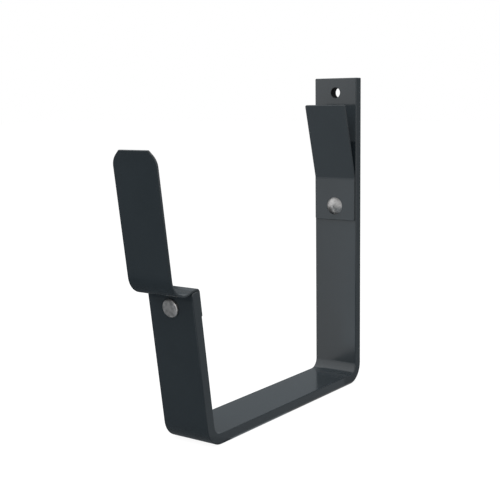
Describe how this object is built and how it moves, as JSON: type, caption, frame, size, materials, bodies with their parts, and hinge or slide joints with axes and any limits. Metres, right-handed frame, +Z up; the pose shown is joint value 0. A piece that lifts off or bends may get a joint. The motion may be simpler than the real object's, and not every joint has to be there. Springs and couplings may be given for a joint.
{
  "type": "gutter bracket",
  "caption": "Flat bar bent to a square hook that carries a box gutter from a fascia board, with riveted sheet tongues that fold over the gutter's edges.",
  "frame": {"origin": "centre of the fixing hole, on the rear face that lies against the fascia board", "axes": "+X across the flat bar, +Y into the fascia board along the fixing hole, +Z up"},
  "size_m": [0.025, 0.1619, 0.1615],
  "materials": {
    "coated_bar": "semi-gloss powder coat",
    "coated_sheet": "semi-gloss powder coat",
    "front_rivet_metal": "dull bare metal",
    "rear_rivet_metal": "bare metal"
  },
  "bodies": {
    "root": {"hook_strip": "coated_bar", "front_tongue": "coated_sheet", "front_rivet": "front_rivet_metal", "rear_clip": "coated_sheet", "rear_rivet": "rear_rivet_metal"}
  },
  "joints": []
}
